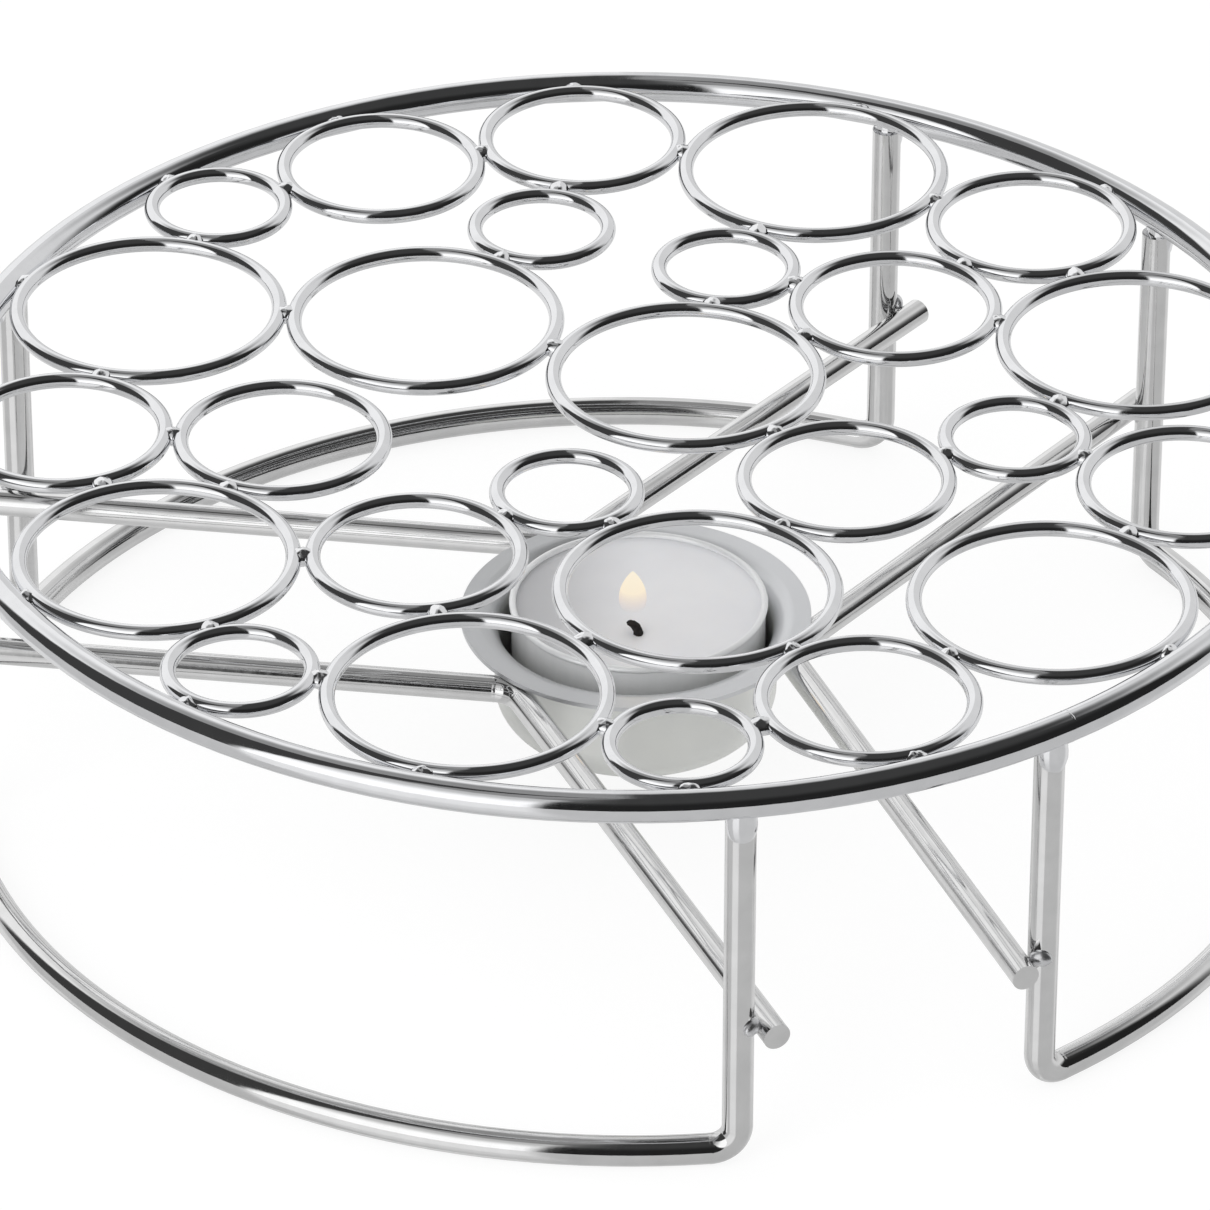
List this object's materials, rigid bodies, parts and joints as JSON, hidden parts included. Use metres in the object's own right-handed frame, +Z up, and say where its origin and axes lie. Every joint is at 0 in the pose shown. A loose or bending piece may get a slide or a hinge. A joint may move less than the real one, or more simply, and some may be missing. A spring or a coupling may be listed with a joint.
{
  "type": "tea light warmer",
  "caption": "Round wire trivet of welded rings on three wire legs, with a hanging dish that holds a tea light below the rings.",
  "frame": {"origin": "on the floor under the middle of the rim", "axes": "+Z up; the gap between two legs that faces -Y is on the -Y axis"},
  "size_m": [0.2062, 0.2062, 0.0631],
  "materials": {
    "rim": "polished",
    "rings": "polished",
    "legs": "polished",
    "dish": "satin",
    "cup": "satin",
    "wax": "matte",
    "wick": "charred"
  },
  "bodies": {
    "root": {"rim": "rim", "ring_01": "rings", "ring_02": "rings", "ring_03": "rings", "ring_04": "rings", "ring_05": "rings", "ring_06": "rings", "ring_07": "rings", "ring_08": "rings", "ring_09": "rings", "ring_10": "rings", "ring_11": "rings", "ring_12": "rings", "ring_13": "rings", "ring_14": "rings", "ring_15": "rings", "ring_16": "rings", "ring_17": "rings", "ring_18": "rings", "ring_19": "rings", "ring_20": "rings", "ring_21": "rings", "ring_22": "rings", "ring_23": "rings", "ring_24": "rings", "ring_25": "rings", "ring_26": "rings", "leg_1": "legs", "leg_2": "legs", "leg_3": "legs", "support_1": "legs", "support_2": "legs", "support_3": "legs", "dish": "dish", "cup": "cup", "wax": "wax", "wick_clip": "cup", "wick": "wick"}
  },
  "joints": []
}
